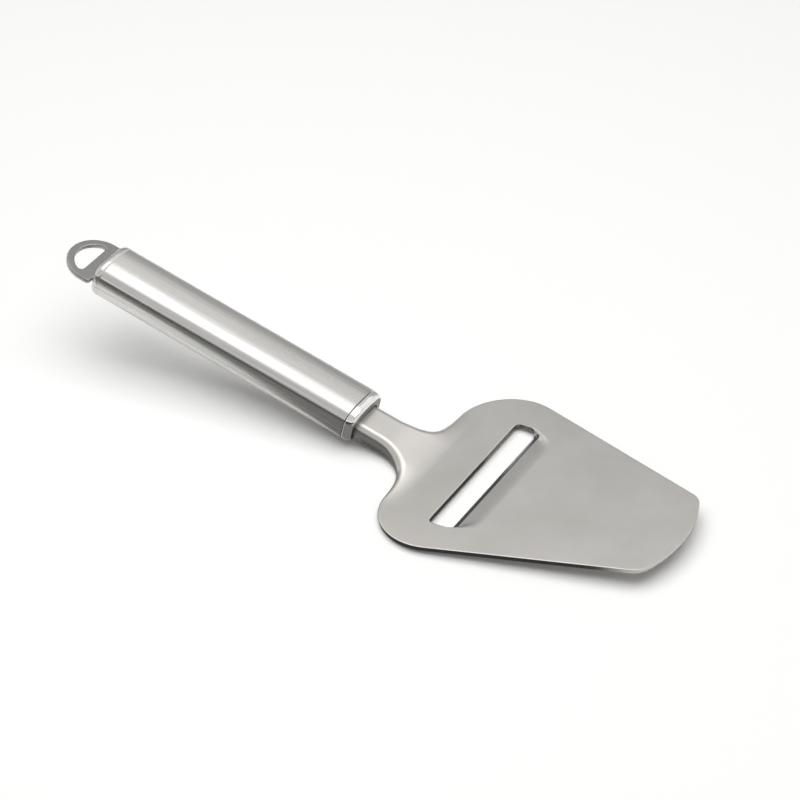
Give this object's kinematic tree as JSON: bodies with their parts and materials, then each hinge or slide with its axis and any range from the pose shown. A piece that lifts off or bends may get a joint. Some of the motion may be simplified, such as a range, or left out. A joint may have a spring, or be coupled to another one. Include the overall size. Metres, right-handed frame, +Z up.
{
  "type": "cheese slicer",
  "caption": "Cheese slicer: flat steel spade blade with a slot and dropped cutting lip, flanged neck, hollow oval handle and D-shaped hanging loop.",
  "frame": {"origin": "on the table the tool lies on, under the middle of its box", "axes": "+X from the handle towards the blade's tip, +Y to the side, +Z up from the table"},
  "size_m": [0.2268, 0.0824, 0.0358],
  "materials": {
    "blade_steel": "fine satin stainless steel",
    "tube_steel": "stainless steel brushed along the handle",
    "cap_steel": "polished stainless steel",
    "loop_steel": "tumbled stainless steel",
    "weld_steel": "bare weld metal"
  },
  "bodies": {
    "root": {"blade": "blade_steel", "handle_tube": "tube_steel", "front_cap": "cap_steel", "rear_cap": "cap_steel", "hanging_loop": "loop_steel", "neck_weld": "weld_steel", "loop_weld": "weld_steel"}
  },
  "joints": []
}
